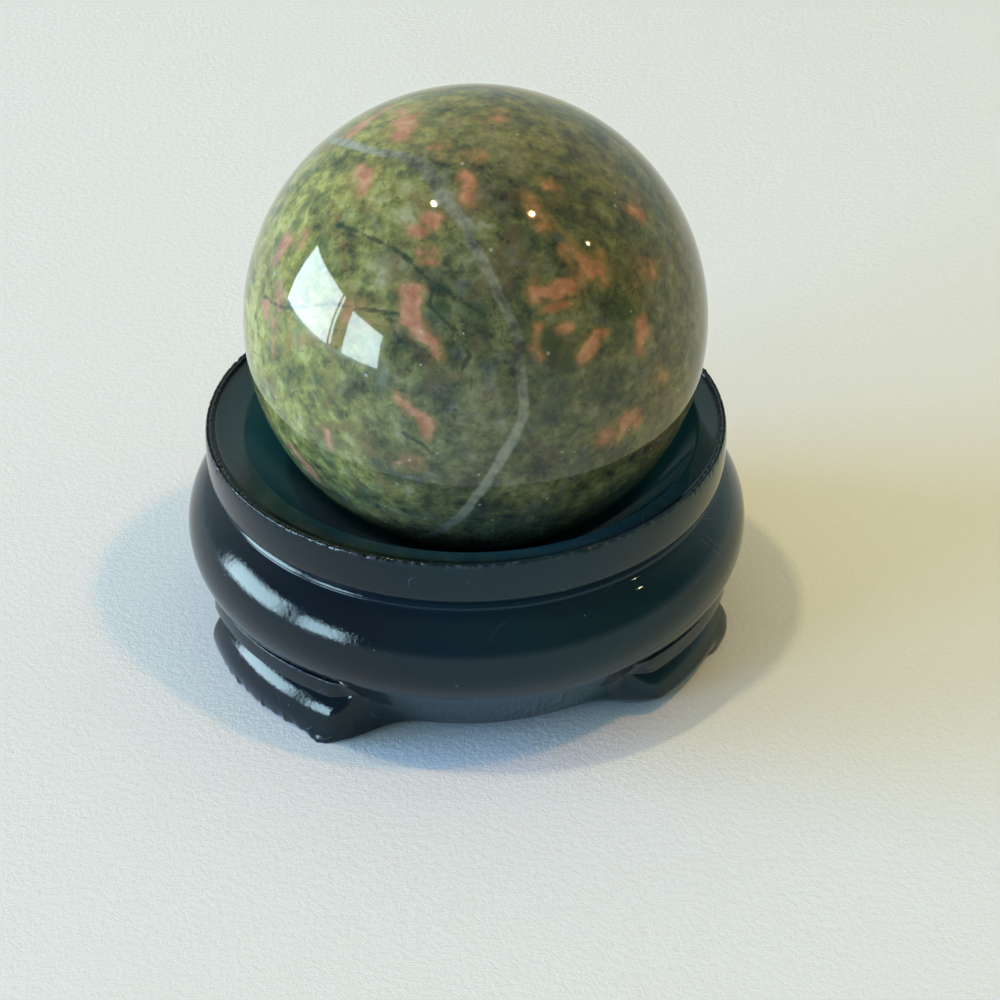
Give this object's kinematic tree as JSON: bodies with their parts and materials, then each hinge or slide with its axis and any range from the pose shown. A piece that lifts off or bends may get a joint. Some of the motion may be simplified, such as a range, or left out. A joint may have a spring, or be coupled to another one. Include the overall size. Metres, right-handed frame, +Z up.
{
  "type": "decorative stone sphere on a wooden stand",
  "caption": "Polished mottled green and pink stone sphere lying in the dish of a small turned dark wooden stand with low feet.",
  "frame": {"origin": "on the table under the middle of the stand", "axes": "+Z up; -Y is the front, between the two front feet; +X is to the right seen from the front"},
  "size_m": [0.0504, 0.0504, 0.05],
  "materials": {
    "polished_stone": "polished",
    "lacquered_wood": "gloss"
  },
  "bodies": {
    "root": {"stone_sphere": "polished_stone", "wooden_stand": "lacquered_wood"}
  },
  "joints": []
}
